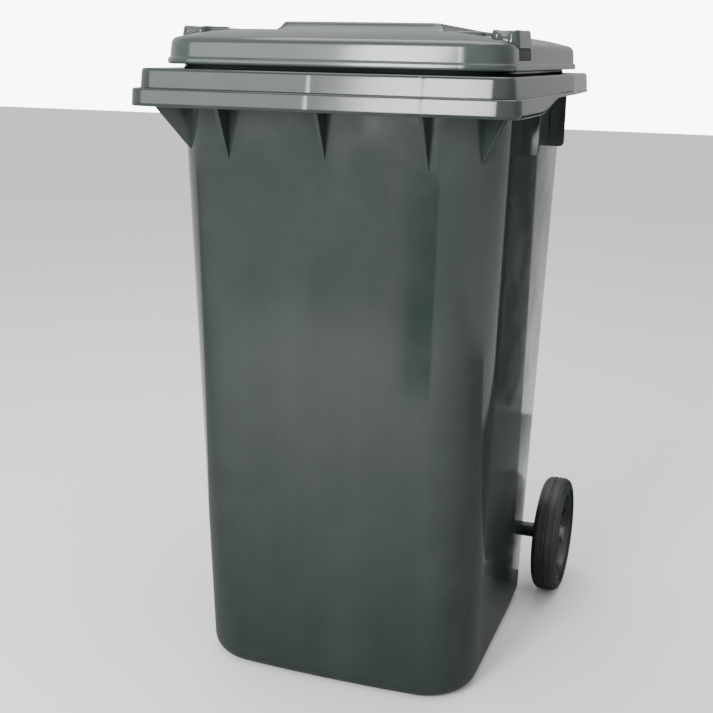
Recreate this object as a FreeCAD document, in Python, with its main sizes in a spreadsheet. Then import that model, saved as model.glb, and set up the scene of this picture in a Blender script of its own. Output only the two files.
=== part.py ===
import FreeCAD, Part
import math
import os
import re
import Sketcher

# Two-wheeled bin of the 240 litre class. Millimetres, +Z up, the front faces -Y, and the origin is on the
# ground at the centre of the whole object's box. The tub, the lid and the wheels are separate mouldings.

V = FreeCAD.Vector
ALONG_X = FreeCAD.Rotation(V(0, 1, 0), 90)
FOOT_STEPS = 4

SIZES = {
    # tub, outside
    "foot_half": 233, "foot_front": 268, "foot_rear": 191, "foot_round": 90, "foot_rear_round": 40,
    "tub_half": 258, "tub_front": 308, "tub_rear": 234, "tub_round": 92, "tub_rear_round": 56,
    "tub_height": 980, "tub_bow": 4, "foot_fillet": 28, "wall": 4,
    "crease_top": -40, "crease_foot": 80, "crease_inset": 5, "crease_foot_inset": 2,
    # rim, measured from the tub
    "comb_side": 32, "comb_front": 54, "comb_rear": 71, "rim_bow": 4, "rim_round": 30, "rim_wall": 4,
    "rim_depth": 54, "rim_upper_band": 28, "rim_plate_rise": 2, "rim_inset": 9, "rim_fade": 0.5,
    "rim_end": 217, "rim_taper": 10, "rim_rear_round": 14, "rim_side_round": 90,
    "sweep_back": 236, "sweep_half": 42, "sweep_rise": 21, "sweep_round": 300,
    "lip_inset": 3, "lip_wall": 4, "lip_rise": 14,
    # webs under the rim
    "web": 4, "front_web_place": 153, "front_web_drop": 74, "front_web_reach": 34,
    "corner_web_drop": 61, "corner_web_step": 18,
    "side_web_drop": 62, "side_web_front": 144, "side_web_back": 72, "side_web": 6,
    # hinge and grip
    "hinge_reach": 44, "hinge_rise": 14, "pin_round": 7, "pin_play": 0.06, "pin_past": 6,
    "pin_head_round": 11, "pin_head": 4, "pin_head_gap": 0.3,
    "ear_round": 17, "ear": 10, "ear_inset": 53, "ear_pitch": 71, "ear_drop": 40, "grip_round": 15,
    "knuckle_round": 15, "knuckle_gap": 2.5, "arm": 22,
    # lid, measured from the tub
    "lid_gap": 6, "lid_side_over": 6, "lid_front_over": 15, "lid_rear_over": 24, "lid_bow": 8,
    "lid_round": 64, "lid_rear_round": 25, "lid_wall": 4, "lid_lip": 10, "lid_lip_inset": 3, "lid_skirt": 30,
    "lid_shoulder": 7, "lid_shoulder_inset": 9, "crown_rise": 13, "crown_inset": 110,
    "panel_front_inset": 161, "panel_rear_inset": 163, "panel_side_inset": 139, "panel_splay": 21,
    "panel_rise": 26, "panel_rear_rise": 17, "panel_slope": 13,
    "lug_start": 83, "lug_end": 178, "lug_side_inset": 18, "lug_width": 46, "lug_rise": 17, "lug_slope": 14,
    "scoop_start": 95, "scoop_end": 173, "scoop_depth": 28, "scoop_rise": 6, "scoop_wall": 4,
    "rest_gap": 0.5, "buffer_place": 150, "buffer_round": 7, "buffer_sink": 2,
    # axle and brackets
    "axle_reach": 46, "axle_round": 10, "axle_play": 0.05, "axle_past": 3.2,
    "bracket": 12, "bracket_inset": 30, "bracket_pitch": 63, "bracket_round": 22,
    "bracket_drop": 50, "bracket_rise": 80,
    # wheels
    "wheel_out": 47, "wheel_round": 110, "tyre_half": 24, "tyre_depth": 22, "tyre_shoulder": 13,
    "hub_half": 20, "hub_band": 10, "hub_web": 7, "boss_round": 24, "boss_in": 21, "boss_out": 12,
    "bush_wall": 3, "bush_play": 0.06, "spacer_round": 14, "side_play": 0.4,
    "washer_round": 18, "washer": 2, "cap_round": 15, "cap_floor": 2.5,
}

# Places and heights that follow from the sizes, so that each size can be changed alone.
FOLLOWS = {
    "rim_top": "tub_height + rim_plate_rise",
    "rim_step": "rim_top - rim_upper_band",
    "rim_low": "rim_top - rim_depth",
    "lip_top": "rim_top + lip_rise",
    "rim_half": "tub_half + comb_side",
    "rim_front": "tub_front + comb_front",
    "rim_rear": "tub_rear + comb_rear",
    "rim_rear_half": "rim_half - rim_taper",
    "rim_side_end": "rim_rear - rim_end",
    "sweep_middle": "sweep_back - rim_front",
    "web_half": "rim_half - rim_inset - rim_wall / 2",
    "web_front": "rim_front - rim_inset - rim_wall / 2",
    "corner_web_top": "(web_half - tub_half + tub_round) * 1.414 - tub_round",
    "corner_web_reach": "corner_web_top - corner_web_step",
    "front_web_tip": "rim_low - front_web_drop",
    "corner_web_tip": "rim_low - corner_web_drop",
    "side_web_low": "rim_low - side_web_drop",
    "hinge_back": "rim_rear + hinge_reach",
    "hinge_up": "rim_top + hinge_rise",
    "outer_ear": "tub_half - ear_inset",
    "inner_ear": "outer_ear - ear_pitch",
    "pin_end": "inner_ear - pin_past",
    "lid_half": "tub_half + lid_side_over",
    "lid_front": "tub_front + lid_front_over",
    "lid_rear": "tub_rear + lid_rear_over",
    "lid_low": "rim_top + lid_gap",
    "lid_step": "lid_low + lid_lip",
    "lid_top": "lid_step + lid_skirt",
    "lid_edge": "lid_top - lid_shoulder",
    "panel_front": "lid_front - panel_front_inset",
    "panel_rear": "lid_rear - panel_rear_inset",
    "panel_half": "lid_half - panel_side_inset",
    "panel_rear_half": "panel_half + panel_splay",
    "panel_top": "lid_top + panel_rise",
    "panel_rear_top": "lid_top + panel_rear_rise",
    "lug_front": "lid_front - lug_start",
    "lug_back": "lid_front - lug_end",
    "lug_out": "lid_half - lug_side_inset",
    "lug_in": "lug_out - lug_width",
    "lug_top": "lid_top + lug_rise",
    "scoop_front": "lid_front - scoop_start",
    "scoop_back": "lid_front - scoop_end",
    "scoop_in": "lid_half - scoop_depth",
    "scoop_low": "lip_top + scoop_rise",
    "axle_back": "foot_rear + axle_reach",
    "axle_up": "wheel_round",
    "wheel_place": "foot_half + wheel_out",
    "boss_start": "wheel_place - boss_in",
    "boss_end": "wheel_place + boss_out",
    "cap_start": "boss_end + 2 * side_play + washer",
    "axle_end": "cap_start + axle_past",
    "hub_round": "wheel_round - tyre_depth",
    "bush_out": "axle_round + bush_play + bush_wall",
    "outer_bracket": "foot_half - bracket_inset",
    "inner_bracket": "outer_bracket - bracket_pitch",
    "bracket_low": "axle_up - bracket_drop",
    "bracket_high": "axle_up + bracket_rise",
}

doc = FreeCAD.newDocument("wheelie_bin")
sheet = doc.addObject("Spreadsheet::Sheet", "Sizes")
for line, (word, value) in enumerate(SIZES.items(), start=1):
    sheet.set(f"A{line}", word)
    sheet.set(f"B{line}", str(value))
    sheet.setAlias(f"B{line}", word)
doc.recompute()


def bound(formula):
    """A formula of names, each turned into its cell of the sheet or into what it follows from."""
    def cell(match):
        word = match.group(1)
        return f"({bound(FOLLOWS[word])})" if word in FOLLOWS else f"Sizes.{word}"
    return re.sub(r"\b(?!deg\b)([a-z]\w*)\b(?!\()", cell, formula)


def number(formula):
    """What a formula comes to now, which is where the sketch solver starts from."""
    return float(sheet.evalExpression(bound(formula)))


def new_body(label):
    body = doc.addObject("PartDesign::Body", label)
    body.Label = label
    return body


def new_sketch(body, name, role, offset="0"):
    """A sketch on one of the body's origin planes, moved along that plane's normal."""
    sketch = body.newObject("Sketcher::SketchObject", name)
    plane = next(item for item in body.Origin.OriginFeatures if item.Role == role)
    sketch.AttachmentSupport = (plane, "")
    sketch.MapMode = "FlatFace"
    sketch.setExpression("AttachmentOffset.Base.z", bound(offset))
    return sketch


def tie(sketch, kind, *where, size=None):
    """Adds one constraint, and binds its size when it has one."""
    values = where if size is None else where + (number(size),)
    index = sketch.addConstraint(Sketcher.Constraint(kind, *values))
    if size is not None:
        sketch.setExpression(f"Constraints[{index}]", bound(size))


def draw_outline(sketch, corners, bow=None):
    """A closed outline through corners (x, y, round), each a formula. A corner with a round gets an arc
    tangent to both its edges. With a bow, the first edge is an arc whose middle stands out by that much."""
    spots = [V(number(x), number(y), 0) for x, y, _ in corners]
    rounds = [number(r) if r else 0.0 for _, _, r in corners]
    count = len(corners)
    starts = []
    ends = []
    turns = []
    for i, spot in enumerate(spots):
        came = (spot - spots[i - 1]).normalize()
        goes = (spots[(i + 1) % count] - spot).normalize()
        turn = came.x * goes.y - came.y * goes.x
        trim = rounds[i] * math.tan(math.acos(max(-1.0, min(1.0, came.dot(goes)))) / 2)
        starts.append(spot - came * trim)
        ends.append(spot + goes * trim)
        turns.append(turn)
    edges = []
    for i in range(count):
        first = ends[i]
        last = starts[(i + 1) % count]
        if i == 0 and bow:
            middle = (first + last) / 2 + V(0, -number(bow), 0)
            edges.append(sketch.addGeometry(Part.ArcOfCircle(first, middle, last), False))
        else:
            edges.append(sketch.addGeometry(Part.LineSegment(first, last), False))
    for i, (x, y, r) in enumerate(corners):
        before = edges[i - 1]
        after = edges[i]
        if not r:
            tie(sketch, "Coincident", before, 2, after, 1)
            tie(sketch, "DistanceX", -1, 1, after, 1, size=x)
            tie(sketch, "DistanceY", -1, 1, after, 1, size=y)
            continue
        centre_way = (starts[i] + ends[i]) / 2 - spots[i]
        centre = spots[i] + centre_way.normalize() * math.hypot(rounds[i], (starts[i] - spots[i]).Length)
        middle = centre + (spots[i] - centre).normalize() * rounds[i]
        arc = sketch.addGeometry(Part.ArcOfCircle(starts[i], middle, ends[i]), False)
        ahead = turns[i] > 0
        tie(sketch, "Tangent", before, 2, arc, 1 if ahead else 2)
        tie(sketch, "Tangent", arc, 2 if ahead else 1, after, 1)
        tie(sketch, "Radius", arc, size=r)
        spot = sketch.addGeometry(Part.Point(spots[i]), True)
        tie(sketch, "DistanceX", -1, 1, spot, 1, size=x)
        tie(sketch, "DistanceY", -1, 1, spot, 1, size=y)
        tie(sketch, "PointOnObject", spot, 1, before)
        tie(sketch, "PointOnObject", spot, 1, after)
    if bow:
        chord = corners[1][0]
        tie(sketch, "Radius", edges[0], size=f"(({chord})^2 + ({bow})^2) / (2 * ({bow}))")


def draw_circle(sketch, x, y, radius):
    circle = sketch.addGeometry(Part.Circle(V(number(x), number(y), 0), V(0, 0, 1), number(radius)), False)
    tie(sketch, "DistanceX", -1, 1, circle, 3, size=x)
    tie(sketch, "DistanceY", -1, 1, circle, 3, size=y)
    tie(sketch, "Radius", circle, size=radius)


def new_feature(body, kind, name, sketch):
    """A feature of the body. Its booleans are exact, because a loose tolerance can leave a cut undone."""
    feature = body.newObject("PartDesign::" + kind, name)
    feature.Profile = sketch
    feature.FuzzyTolerance = 0
    return feature


def pad(body, sketch, length, both=False):
    feature = new_feature(body, "Pad", sketch.Name + "_pad", sketch)
    if both:
        feature.SideType = "Symmetric"
    feature.setExpression("Length", bound(length))
    return feature


def cut(body, sketch, length, both=False, ahead=False):
    """A pocket. It goes against the sketch's normal, or along it when ahead is set."""
    feature = new_feature(body, "Pocket", sketch.Name + "_cut", sketch)
    if both:
        feature.SideType = "Symmetric"
    feature.Reversed = ahead
    feature.setExpression("Length", bound(length))
    return feature


def loft(body, kind, sketches):
    feature = new_feature(body, kind, sketches[0].Name + "_loft", sketches[0])
    feature.Sections = sketches[1:]
    feature.Ruled = True
    return feature


def spin(body, sketch):
    """Turns a profile drawn in the XZ plane once round the sketch's X axis."""
    feature = new_feature(body, "Revolution", sketch.Name + "_spin", sketch)
    feature.ReferenceAxis = (sketch, ["H_Axis"])
    feature.Angle = 360
    return feature


def mirror_corners(half):
    """The whole outline from its right half, which runs from the front corner to the rear one."""
    left = [(f"-({x})", y, r) for x, y, r in half]
    return [left[0]] + half + left[:0:-1]


# Outlines seen from above, as right halves, drawn in by a depth.

def tub_half(foot, depth="0"):
    place = "foot" if foot else "tub"
    inset = "crease_foot_inset" if foot else "crease_inset"
    side = f"{place}_half - ({depth})"
    return [(side, f"-({place}_front - ({depth}))", f"{place}_round - ({depth})"),
            (side, "crease_foot" if foot else "crease_top", None),
            (f"{side} - {inset}", f"{place}_rear - ({depth})", f"{place}_rear_round - ({depth})")]


def rim_band(depth="0"):
    return [(f"rim_half - ({depth})", f"-(rim_front - ({depth}))", f"rim_round - ({depth})"),
            (f"rim_half - ({depth})", "rim_side_end", "rim_side_round"),
            (f"rim_rear_half - ({depth})", f"rim_rear - ({depth})", f"rim_rear_round - ({depth})")]


def rim_upper(depth="0"):
    """The upper band stands back at the front corners and fades into the lower band along the sides."""
    inset = f"(rim_inset + ({depth}))"
    fade = f"(rim_fade + ({depth}))"
    return [(f"rim_half - {inset}", f"-(rim_front - {inset})", f"rim_round - ({depth})"),
            (f"rim_half - {fade}", "rim_side_end", "rim_side_round"),
            (f"rim_rear_half - {fade}", f"rim_rear - {fade}", f"rim_rear_round - ({depth})")]


def lid_half(depth="0"):
    side = f"lid_half - ({depth})"
    return [(side, f"-(lid_front - ({depth}))", f"lid_round - ({depth}) * 0.45"),
            (side, f"lid_rear - ({depth})", f"lid_rear_round - ({depth}) * 0.18")]


def plan(body, name, height, *outlines):
    """A sketch seen from above that holds outlines, each with its own bow at the front."""
    sketch = new_sketch(body, name, "XY_Plane", height)
    for half, bow in outlines:
        draw_outline(sketch, mirror_corners(half), bow)
    return sketch


def tub_at(side, height):
    """How far the tub's wall stands out at a height, as a formula, for side half, front or rear."""
    return f"(foot_{side} + (tub_{side} - foot_{side}) * ({height}) / tub_height)"


def tub_loft(body, kind, name, depth):
    """The tub's solid, drawn in by a depth: a rounded foot in five steps, then one straight taper."""
    sections = []
    for step in range(FOOT_STEPS + 1):
        lean = 90 * step / FOOT_STEPS
        reach = f"(foot_fillet - ({depth}))"
        inset = f"(foot_fillet - {reach} * sin({lean} * 1 deg))"
        height = f"foot_fillet - {reach} * cos({lean} * 1 deg)"
        sections.append(plan(body, f"{name}_{step}", height, (tub_half(True, inset), "tub_bow")))
    sections.append(plan(body, f"{name}_mouth", "tub_height", (tub_half(False, depth), "tub_bow")))
    loft(body, kind, sections)


def build_tub(body):
    tub_loft(body, "AdditiveLoft", "tub_outside", "0")
    tub_loft(body, "SubtractiveLoft", "tub_inside", "wall")


def build_skirt(body):
    """The lower band of the rim, whose bottom edge sweeps up along the sides."""
    lower = plan(body, "rim_lower", "rim_low", (rim_band(), "rim_bow"), (rim_band("rim_wall"), "rim_bow"))
    pad(body, lower, "rim_step - rim_low")
    sweep = new_sketch(body, "rim_sweep", "YZ_Plane")
    below = "rim_low - 20"
    behind = "rim_rear + 20"
    start = "sweep_middle - 2 * sweep_half"
    draw_outline(sweep, [(start, below, None),
                         (start, "rim_low", None),
                         ("sweep_middle - sweep_half", "rim_low", "sweep_round"),
                         ("sweep_middle + sweep_half", "rim_low + sweep_rise", "sweep_round"),
                         (behind, "rim_low + sweep_rise", None),
                         (behind, below, None)][::-1])
    cut(body, sweep, "rim_half * 3", both=True)


def build_rim(body):
    step = plan(body, "rim_ledge", "rim_step - rim_wall",
                (rim_band(), "rim_bow"), (rim_upper("rim_wall"), "rim_bow"))
    pad(body, step, "rim_wall")
    upper = plan(body, "rim_upper", "rim_step - rim_wall / 2",
                 (rim_upper(), "rim_bow"), (rim_upper("rim_wall"), "rim_bow"))
    pad(body, upper, "rim_top - rim_step + rim_wall / 2")
    top = plan(body, "rim_plate", "rim_top - rim_wall",
               (rim_upper(), "rim_bow"), (tub_half(False, "(lip_inset + lip_wall)"), "tub_bow"))
    pad(body, top, "rim_wall")
    mouth = tub_half(False, "(lip_inset + lip_wall)")
    lip = plan(body, "lip", "rim_top - rim_wall", (tub_half(False, "lip_inset"), "tub_bow"), (mouth, "tub_bow"))
    pad(body, lip, "rim_wall + lip_rise")


def build_webs(body):
    """The triangular webs under the front of the rim, those across its corners, and the side ones."""
    under = "rim_top - rim_wall / 2"
    for side in (-1, 0, 1):
        sketch = new_sketch(body, f"front_web_{side + 1}", "YZ_Plane", f"{side} * front_web_place")
        draw_outline(sketch, [(f"-({tub_at('front', 'front_web_tip')} - wall / 2)", "front_web_tip", None),
                              (f"-({tub_at('front', under)} - wall / 2)", under, None),
                              ("-web_front", under, None),
                              (f"-({tub_at('front', 'rim_low')} + front_web_reach)", "rim_low", None)][::-1])
        pad(body, sketch, "web", both=True)
    for side in (-1, 1):
        sketch = new_sketch(body, f"corner_web_{side + 1}", "YZ_Plane", f"{side} * (tub_half - tub_round)")
        sketch.AttachmentOffset = FreeCAD.Placement(sketch.AttachmentOffset.Base,
                                                    FreeCAD.Rotation(V(0, 1, 0), 135 * -side))
        sketch.setExpression("AttachmentOffset.Base.x", bound("-(tub_front - tub_round)"))
        draw_outline(sketch, [("tub_round - wall", "corner_web_tip", None),
                              ("tub_round + corner_web_reach", "rim_low", None),
                              ("tub_round + corner_web_top", under, None),
                              ("tub_round - wall", under, None)])
        pad(body, sketch, "web", both=True)
    for name, place in (("front", "-side_web_front"), ("back", "side_web_back")):
        for side in (-1, 1):
            sketch = new_sketch(body, f"side_web_{name}_{side + 1}", "XZ_Plane", f"-({place})")
            wall_out = tub_at("half", "side_web_low")
            corners = [(f"{side} * ({wall_out} - wall / 2)", "side_web_low", None),
                       (f"{side} * web_half", "side_web_low", None),
                       (f"{side} * web_half", under, None),
                       (f"{side} * (tub_half - wall / 2)", under, None)]
            draw_outline(sketch, corners if side > 0 else corners[::-1])
            pad(body, sketch, "side_web", both=True)


def build_hinge_seat(body):
    """Two pairs of ears behind the rim, the grip bar between them, and the bores for the hinge pins."""
    for side in (-1, 1):
        for name, place in (("inner", "inner_ear"), ("outer", "outer_ear")):
            sketch = new_sketch(body, f"{name}_ear_{side + 1}", "YZ_Plane", f"{side} * ({place} + ear / 2)")
            far = "hinge_back + ear_round"
            draw_outline(sketch, [("rim_rear - rim_wall", "rim_top - ear_drop + 10", None),
                                  ("hinge_back - 18", "rim_top - ear_drop + 10", "20"),
                                  (far, "hinge_up - ear_round", "ear_round * 0.8"),
                                  (far, "hinge_up + ear_round", "ear_round * 0.95"),
                                  ("hinge_back - ear_round", "hinge_up + ear_round", "ear_round * 0.95"),
                                  ("hinge_back - ear_round - 6", "rim_top", "8"),
                                  ("rim_rear - rim_wall", "rim_top", None)])
            pad(body, sketch, "ear", both=True)
    bar = new_sketch(body, "grip_bar", "YZ_Plane")
    draw_circle(bar, "hinge_back", "hinge_up", "grip_round")
    pad(body, bar, "2 * inner_ear + ear", both=True)
    for side in (-1, 1):
        bore = new_sketch(body, f"pin_bore_{side + 1}", "YZ_Plane", f"{side} * pin_end - {side} * pin_play")
        draw_circle(bore, "hinge_back", "hinge_up", "pin_round + pin_play")
        cut(body, bore, "outer_ear + ear + 5 - pin_end", ahead=side > 0)


def build_axle_seat(body):
    """Four plates behind the foot of the tub that carry the axle, two at each side."""
    for side in (-1, 1):
        for name, place in (("inner", "inner_bracket"), ("outer", "outer_bracket")):
            middle = f"{side} * ({place} + bracket / 2)"
            sketch = new_sketch(body, f"{name}_bracket_{side + 1}", "YZ_Plane", middle)
            far = "axle_back + bracket_round"
            draw_outline(sketch, [(f"{tub_at('rear', 'bracket_low')} - wall / 2", "bracket_low", None),
                                  (far, "axle_up - bracket_round", "bracket_round * 0.95"),
                                  (far, "axle_up + bracket_round", "bracket_round * 0.95"),
                                  (f"{tub_at('rear', 'bracket_high')} - wall / 2", "bracket_high", None)])
            pad(body, sketch, "bracket", both=True)
        web = new_sketch(body, f"bracket_web_{side + 1}", "XZ_Plane", "-axle_back")
        low = "axle_up + bracket_round - 6"
        corners = [(f"{side} * (inner_bracket + 1)", low, None),
                   (f"{side} * (outer_bracket + 1)", low, None),
                   (f"{side} * (outer_bracket + 1)", f"{low} + wall", None),
                   (f"{side} * (inner_bracket + 1)", f"{low} + wall", None)]
        draw_outline(web, corners if side > 0 else corners[::-1])
        pad(body, web, f"axle_back - {tub_at('rear', 'axle_up')} + 1").Reversed = False
    bore = new_sketch(body, "axle_bore", "YZ_Plane")
    draw_circle(bore, "axle_back", "axle_up", "axle_round + axle_play")
    cut(body, bore, "3 * rim_half", both=True)


def make_body():
    body = new_body("body")
    build_skirt(body)
    build_tub(body)
    build_rim(body)
    build_webs(body)
    build_hinge_seat(body)
    build_axle_seat(body)
    return body


def lid_section(body, name, height, depth):
    return plan(body, name, height, (lid_half(depth), "lid_bow"))


def panel_section(body, name, place, half_low, half_top, low, top):
    """A trapezium across the lid, standing at a place along Y."""
    sketch = new_sketch(body, name, "XZ_Plane", f"-({place})")
    draw_outline(sketch, [(f"-({half_low})", low, None), (half_low, low, None),
                          (half_top, top, None), (f"-({half_top})", top, None)])
    return sketch


def panel(body, kind, name, depth):
    """The raised panel, or the hollow under it when a depth is given."""
    low = f"lid_top + crown_rise - 6 - 2 * ({depth})"
    sections = []
    for step, (place, half, top) in enumerate((
            (f"-(panel_front + panel_slope - ({depth}))", "panel_half", "lid_top + crown_rise - 4"),
            (f"-(panel_front - ({depth}))", "panel_half", "panel_top"),
            (f"panel_rear - ({depth})", "panel_rear_half", "panel_rear_top"),
            (f"panel_rear + 2 * panel_slope - ({depth})", "panel_rear_half", "lid_top + crown_rise - 4"))):
        half_low = f"{half} + panel_slope - ({depth})"
        half_top = f"{half} - ({depth})" if step in (1, 2) else f"{half} + panel_slope - 1 - ({depth})"
        high = f"{top} - ({depth})"
        sections.append(panel_section(body, f"{name}_{step}", place, half_low, half_top, low, high))
    loft(body, kind, sections)


def build_lid_shell(body):
    lip = plan(body, "lid_low", "lid_low", (lid_half(), "lid_bow"))
    pad(body, lip, "lid_lip")
    loft(body, "AdditiveLoft", [lid_section(body, "lid_step", "lid_step - 1", "lid_lip_inset"),
                                lid_section(body, "lid_edge", "lid_edge", "lid_lip_inset"),
                                lid_section(body, "lid_shoulder", "lid_top", "lid_shoulder_inset"),
                                lid_section(body, "lid_crown", "lid_top + crown_rise", "crown_inset")])
    panel(body, "AdditiveLoft", "panel", "0")
    hollow = "lid_wall + lid_lip_inset"
    loft(body, "SubtractiveLoft", [lid_section(body, "under_low", "lid_low - 1", hollow),
                                   lid_section(body, "under_edge", "lid_edge - 1", hollow),
                                   lid_section(body, "under_shoulder", "lid_top - lid_wall",
                                               "lid_shoulder_inset + 3"),
                                   lid_section(body, "under_crown", "lid_top + crown_rise - lid_wall",
                                               "crown_inset + 3")])
    panel(body, "SubtractiveLoft", "under_panel", "lid_wall")


def slab(side, near, far, front, rear):
    """A rectangle seen from above, at one side."""
    corners = [(f"{side} * ({near})", front, None), (f"{side} * ({far})", front, None),
               (f"{side} * ({far})", rear, None), (f"{side} * ({near})", rear, None)]
    return corners if side > 0 else corners[::-1]


def build_lid_grips(body):
    """At each side a raised lug, and a scoop in the skirt for the fingers."""
    for side in (-1, 1):
        lug = new_sketch(body, f"lug_{side + 1}", "XZ_Plane", "lug_front")
        foot = "lid_top - 1"
        corners = [(f"{side} * (lug_in - lug_slope)", foot, None), (f"{side} * (lug_out + 4)", foot, None),
                   (f"{side} * lug_out", "lug_top", None), (f"{side} * lug_in", "lug_top", None)]
        draw_outline(lug, corners if side > 0 else corners[::-1])
        pad(body, lug, "lug_front - lug_back").Reversed = True
        block = new_sketch(body, f"scoop_wall_{side + 1}", "XY_Plane", "lip_top + rest_gap")
        corners = slab(side, "scoop_in - scoop_wall", "lid_half - lid_lip_inset - 1",
                       "-(scoop_front + scoop_wall)", "-(scoop_back - scoop_wall)")
        draw_outline(block, corners)
        pad(body, block, "lid_top - lip_top - rest_gap - 1")
        scoop = new_sketch(body, f"scoop_{side + 1}", "XY_Plane", "lug_top + 5")
        corners = slab(side, "scoop_in", "lid_half + 10", "-scoop_front", "-scoop_back")
        draw_outline(scoop, corners)
        cut(body, scoop, "lug_top + 5 - scoop_low")


def build_lid_arms(body):
    """An arm behind each side of the lid, with the knuckle that turns on the hinge pin."""
    knuckle = "(outer_ear - inner_ear - ear - 2 * knuckle_gap)"
    middle = "(outer_ear + inner_ear + ear) / 2"
    for side in (-1, 1):
        arm = new_sketch(body, f"arm_{side + 1}", "YZ_Plane", f"{side} * {middle}")
        draw_outline(arm, [("lid_rear - lid_wall - 2", "lid_low + 1", None),
                           ("hinge_back", "hinge_up - knuckle_round + 6", None),
                           ("hinge_back", "hinge_up + knuckle_round - 3", None),
                           ("lid_rear - lid_wall - 2", "lid_low + 1 + arm", None)])
        pad(body, arm, knuckle, both=True)
        eye = new_sketch(body, f"knuckle_{side + 1}", "YZ_Plane", f"{side} * {middle}")
        draw_circle(eye, "hinge_back", "hinge_up", "knuckle_round")
        pad(body, eye, knuckle, both=True)
    bore = new_sketch(body, "knuckle_bore", "YZ_Plane")
    draw_circle(bore, "hinge_back", "hinge_up", "pin_round + pin_play")
    cut(body, bore, "3 * rim_half", both=True)


def make_lid():
    body = new_body("lid")
    build_lid_shell(body)
    build_lid_grips(body)
    build_lid_arms(body)
    return body


def make_buffer(side, name):
    """A rubber button under the front of the lid, resting on the lip of the tub."""
    body = new_body(f"lid_buffer_{name}")
    place = "-(tub_front - lip_inset - lip_wall / 2)"
    seat = "(lid_top - lid_wall + buffer_sink)"
    button = new_sketch(body, f"buffer_{name}", "XY_Plane", "lip_top + rest_gap")
    draw_circle(button, f"{side} * buffer_place", place, "buffer_round")
    pad(body, button, f"{seat} - lip_top - rest_gap")
    return body


def make_profile_part(label, corners, side):
    """A round piece on the axle from its profile (x, radius, round), drawn for the right side."""
    body = new_body(label)
    sketch = new_sketch(body, label + "_profile", "XZ_Plane")
    placed = [(f"{side} * ({x})", r, soft) for x, r, soft in corners]
    draw_outline(sketch, placed if side > 0 else placed[::-1])
    spin(body, sketch)
    body.setExpression("Placement.Base.y", bound("axle_back"))
    body.setExpression("Placement.Base.z", bound("axle_up"))
    return body


def ring(start, end, inner, outer):
    return [(start, inner, None), (end, inner, None), (end, outer, None), (start, outer, None)]


def make_wheel(side, name):
    near, far = "wheel_place - tyre_half", "wheel_place + tyre_half"
    tyre = [(near, "hub_round", None), (far, "hub_round", None),
            (far, "wheel_round", "tyre_shoulder"), (near, "wheel_round", "tyre_shoulder")]
    band = "hub_round - hub_band"
    hub = [("boss_start", "bush_out", None), ("boss_end", "bush_out", None), ("boss_end", "boss_round", None),
           ("wheel_place + hub_web / 2", "boss_round", None), ("wheel_place + hub_web / 2", band, None),
           ("wheel_place + hub_half", band, None), ("wheel_place + hub_half", "hub_round", None),
           ("wheel_place - hub_half", "hub_round", None), ("wheel_place - hub_half", band, None),
           ("wheel_place - hub_web / 2", band, None), ("wheel_place - hub_web / 2", "boss_round", None),
           ("boss_start", "boss_round", None)]
    bush = ring("boss_start", "boss_end", "axle_round + bush_play", "bush_out")
    bore = "axle_round + axle_play"
    spacer = ring("outer_bracket + bracket", "boss_start - side_play", bore, "spacer_round")
    washer = ring("boss_end + side_play", "boss_end + side_play + washer", bore, "washer_round")
    parts = [
        make_profile_part(f"wheel_tyre_{name}", tyre, side),
        make_profile_part(f"wheel_hub_{name}", hub, side),
        make_profile_part(f"wheel_bush_{name}", bush, side),
        make_profile_part(f"axle_spacer_{name}", spacer, side),
        make_profile_part(f"wheel_washer_{name}", washer, side),
    ]
    cap = new_body(f"axle_cap_{name}")
    outer = new_sketch(cap, f"cap_{name}", "YZ_Plane", f"{side} * cap_start")
    draw_circle(outer, "axle_back", "axle_up", "cap_round")
    pad(cap, outer, "axle_end + cap_floor - cap_start").Reversed = side < 0
    inner = new_sketch(cap, f"cap_socket_{name}", "YZ_Plane", f"{side} * cap_start")
    draw_circle(inner, "axle_back", "axle_up", "axle_round")
    cut(cap, inner, "axle_end - cap_start", ahead=side > 0)
    return parts + [cap]


def make_axle():
    axle = doc.addObject("Part::Cylinder", "axle")
    axle.Label = "axle"
    axle.Placement.Rotation = ALONG_X
    axle.setExpression("Radius", bound("axle_round"))
    axle.setExpression("Height", bound("2 * axle_end"))
    axle.setExpression("Placement.Base.x", bound("-axle_end"))
    axle.setExpression("Placement.Base.y", bound("axle_back"))
    axle.setExpression("Placement.Base.z", bound("axle_up"))
    return axle


def make_hinge_pin(side, name):
    body = new_body(f"hinge_pin_{name}")
    head_start = "outer_ear + ear + pin_head_gap"
    sketch = new_sketch(body, f"pin_{name}", "XZ_Plane")
    corners = [("pin_end", "0", None), (f"{head_start} + pin_head", "0", None),
               (f"{head_start} + pin_head", "pin_head_round", None), (head_start, "pin_head_round", None),
               (head_start, "pin_round", None), ("pin_end", "pin_round", None)]
    placed = [(f"{side} * ({x})", r, soft) for x, r, soft in corners]
    draw_outline(sketch, placed if side > 0 else placed[::-1])
    spin(body, sketch)
    body.setExpression("Placement.Base.y", bound("hinge_back"))
    body.setExpression("Placement.Base.z", bound("hinge_up"))
    return body


pieces = [make_body(), make_lid(), make_axle()]
for side, name in ((-1, "left"), (1, "right")):
    pieces.append(make_hinge_pin(side, name))
    pieces.append(make_buffer(side, name))
    pieces.extend(make_wheel(side, name))
doc.recompute()

for item in doc.Objects:
    if "Invalid" in item.State or "Error" in item.State:
        raise RuntimeError(f"{item.Name} failed: {item.State}")
for piece in pieces:
    if piece.Shape.isNull() or not piece.Shape.isValid() or len(piece.Shape.Solids) != 1:
        raise RuntimeError(f"{piece.Label} is not one valid solid: {len(piece.Shape.Solids)}")

os.makedirs("parts", exist_ok=True)
for piece in pieces:
    piece.Shape.exportStep(f"parts/{piece.Label}.step")
    print(f"{piece.Label}: {piece.Shape.Volume / 1000:.1f} cm3")
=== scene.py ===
import math
import bpy
import numpy as np
from mathutils import Matrix, Vector


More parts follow.
